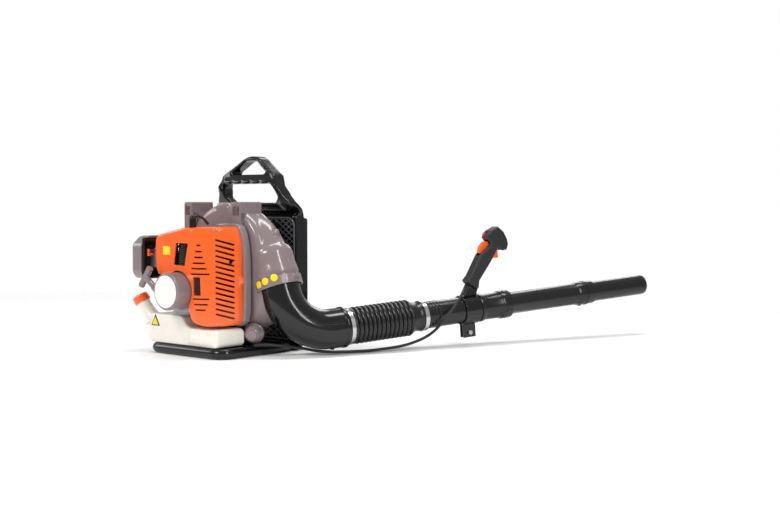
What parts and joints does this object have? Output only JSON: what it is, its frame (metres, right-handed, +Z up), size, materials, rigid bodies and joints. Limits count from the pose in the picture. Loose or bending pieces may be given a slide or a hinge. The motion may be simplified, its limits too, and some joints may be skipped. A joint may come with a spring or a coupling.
{
  "type": "backpack leaf blower",
  "caption": "Petrol backpack leaf blower: engine and scroll fan housing on a carrying frame, with an elbow, a ribbed hose and a long blow tube with a throttle handle.",
  "frame": {"origin": "middle of the base's underside, on the ground", "axes": "+X towards the air outlet side, +Y towards the wearer's back and along the blow tube, +Z up"},
  "size_m": [0.8987, 1.317, 0.529],
  "materials": {
    "black_plastic": "moulded, semi-gloss",
    "soft_black": "moulded rubber, satin",
    "grey_plastic": "moulded nylon, glossy",
    "orange_plastic": "moulded, glossy",
    "red_plastic": "moulded, glossy",
    "tank_white": "blow-moulded, translucent",
    "white_plastic": "moulded, glossy",
    "cast_aluminium": "die cast",
    "bright_steel": "machined",
    "foam_pad": "padded cloth",
    "webbing": "woven webbing",
    "fuel_hose": "clear fuel hose",
    "starter_cord": "braided cord"
  },
  "bodies": {
    "power_unit": {"base_tray": "black_plastic", "back_frame": "black_plastic", "back_pad": "foam_pad", "shoulder_pad_left": "foam_pad", "shoulder_pad_right": "foam_pad", "lower_webbing_left": "webbing", "lower_webbing_right": "webbing", "strap_adjuster_left": "black_plastic", "strap_adjuster_right": "black_plastic", "fan_housing_front": "grey_plastic", "fan_housing_rear": "grey_plastic", "intake_guard": "black_plastic", "bracket_left": "grey_plastic", "bracket_right": "grey_plastic", "housing_foot": "grey_plastic", "mount_rubber_left": "soft_black", "mount_rubber_right": "soft_black", "crankcase": "cast_aluminium", "cylinder": "cast_aluminium", "spark_plug": "bright_steel", "spark_plug_boot": "soft_black", "ignition_coil": "black_plastic", "muffler": "cast_aluminium", "intake_manifold": "soft_black", "carburettor": "cast_aluminium", "air_filter_base": "black_plastic", "air_filter_element": "foam_pad", "air_filter_cover": "grey_plastic", "engine_cover": "orange_plastic", "starter_housing": "grey_plastic", "starter_badge": "white_plastic", "starter_rope": "starter_cord", "fuel_tank": "tank_white", "fuel_line": "fuel_hose", "outlet_clamp": "grey_plastic", "throttle_cable_lower": "soft_black"},
    "rotor": {"fan_impeller": "black_plastic", "crankshaft": "bright_steel"},
    "starter_reel": {"starter_reel": "white_plastic"},
    "starter_handle": {"starter_handle": "grey_plastic"},
    "throttle_cam": {"throttle_cam": "bright_steel"},
    "choke_lever": {"choke_lever": "orange_plastic"},
    "fuel_cap": {"fuel_cap": "orange_plastic"},
    "filter_cover_knob": {"filter_cover_knob": "black_plastic"},
    "elbow": {"elbow_pipe": "black_plastic", "hose_clamp_rear": "bright_steel", "bellows_hose": "soft_black", "throttle_cable_middle": "soft_black"},
    "hose_end": {"hose_clamp_front": "bright_steel", "throttle_cable_upper": "soft_black"},
    "control_tube": {"control_tube": "black_plastic", "handle_clamp": "black_plastic", "clamp_bolt": "bright_steel", "handle_left_shell": "black_plastic", "handle_right_shell": "black_plastic"},
    "throttle_trigger": {"throttle_trigger": "orange_plastic"},
    "throttle_lock": {"throttle_lock_lever": "orange_plastic"},
    "stop_switch": {"stop_switch": "red_plastic"},
    "middle_tube": {"middle_tube": "black_plastic"},
    "nozzle": {"nozzle_tube": "black_plastic"}
  },
  "joints": [
    {"name": "fan_spin", "type": "hinge", "parent": "power_unit", "child": "rotor", "pos_m": [0, -0.1, 0.172], "axis": [0, 1, 0], "continuous": true},
    {"name": "starter_pull", "type": "slide", "parent": "power_unit", "child": "starter_handle", "axis": [-0.8, 0, 0.6], "range_m": [0, 0.6], "stiffness_N_per_m": 20, "springref_m": -0.4, "deforming": ["starter_rope"]},
    {"name": "starter_reel_turn", "type": "hinge", "parent": "power_unit", "child": "starter_reel", "pos_m": [0, -0.176, 0.172], "axis": [0, 1, 0], "range_deg": [0, 871]},
    {"name": "throttle_squeeze", "type": "hinge", "parent": "control_tube", "child": "throttle_trigger", "pos_m": [0.45882, 0.59912, 0.27286], "axis": [0.9272, -0.3746, 0], "range_deg": [-18, 0], "stiffness_Nm_per_rad": 0.5, "springref_deg": 28.65},
    {"name": "throttle_lock_press", "type": "hinge", "parent": "control_tube", "child": "throttle_lock", "pos_m": [0.45097, 0.57969, 0.2802], "axis": [0.9272, -0.3746, 0], "range_deg": [0, 12], "stiffness_Nm_per_rad": 0.5, "springref_deg": -28.65},
    {"name": "stop_switch_press", "type": "slide", "parent": "control_tube", "child": "stop_switch", "axis": [0.3336, 0.8256, -0.4551], "range_m": [0, 0.003], "stiffness_N_per_m": 600, "springref_m": -0.003},
    {"name": "throttle_cam_turn", "type": "hinge", "parent": "power_unit", "child": "throttle_cam", "pos_m": [-0.12685, -0.112, 0.28], "axis": [0, 0, 1], "range_deg": [0, 54.5]},
    {"name": "choke_turn", "type": "hinge", "parent": "power_unit", "child": "choke_lever", "pos_m": [-0.1397, -0.14, 0.262], "axis": [0, 1, 0], "range_deg": [0, 60]},
    {"name": "fuel_cap_turn", "type": "hinge", "parent": "power_unit", "child": "fuel_cap", "pos_m": [-0.18, -0.14, 0.141], "axis": [-0.5011, -0.2004, 0.8419], "range_deg": [0, 170]},
    {"name": "filter_knob_turn", "type": "hinge", "parent": "power_unit", "child": "filter_cover_knob", "pos_m": [-0.205, -0.112, 0.252], "axis": [-1, 0, 0], "range_deg": [0, 170]},
    {"name": "elbow_swivel", "type": "hinge", "parent": "power_unit", "child": "elbow", "pos_m": [0.18, 0.025, 0.188], "axis": [-0.342, 0, 0.9397], "range_deg": [-35, 12], "deforming": ["throttle_cable_lower"]},
    {"name": "hose_bend", "type": "hinge", "parent": "elbow", "child": "hose_end", "pos_m": [0.32395, 0.26532, 0.0798], "axis": [0.9272, -0.3746, 0], "range_deg": [-22, 24], "deforming": ["bellows_hose", "throttle_cable_middle"]},
    {"name": "tube_twist", "type": "hinge", "parent": "hose_end", "child": "control_tube", "pos_m": [0.371, 0.38178, 0.08975], "axis": [0.3734, 0.9243, 0.079], "range_deg": [-60, 60], "deforming": ["throttle_cable_upper"]},
    {"name": "middle_tube_twist", "type": "hinge", "parent": "control_tube", "child": "middle_tube", "pos_m": [0.46959, 0.62579, 0.1106], "axis": [0.3734, 0.9243, 0.079], "range_deg": [0, 20]},
    {"name": "nozzle_twist", "type": "hinge", "parent": "middle_tube", "child": "nozzle", "pos_m": [0.57789, 0.89383, 0.1335], "axis": [0.3734, 0.9243, 0.079], "range_deg": [0, 20]}
  ],
  "couplings": [
    {"joint": "starter_reel_turn", "follows": "starter_pull", "rad_per_m": 25.284},
    {"joint": "throttle_cam_turn", "follows": "throttle_squeeze", "ratio": -3}
  ]
}
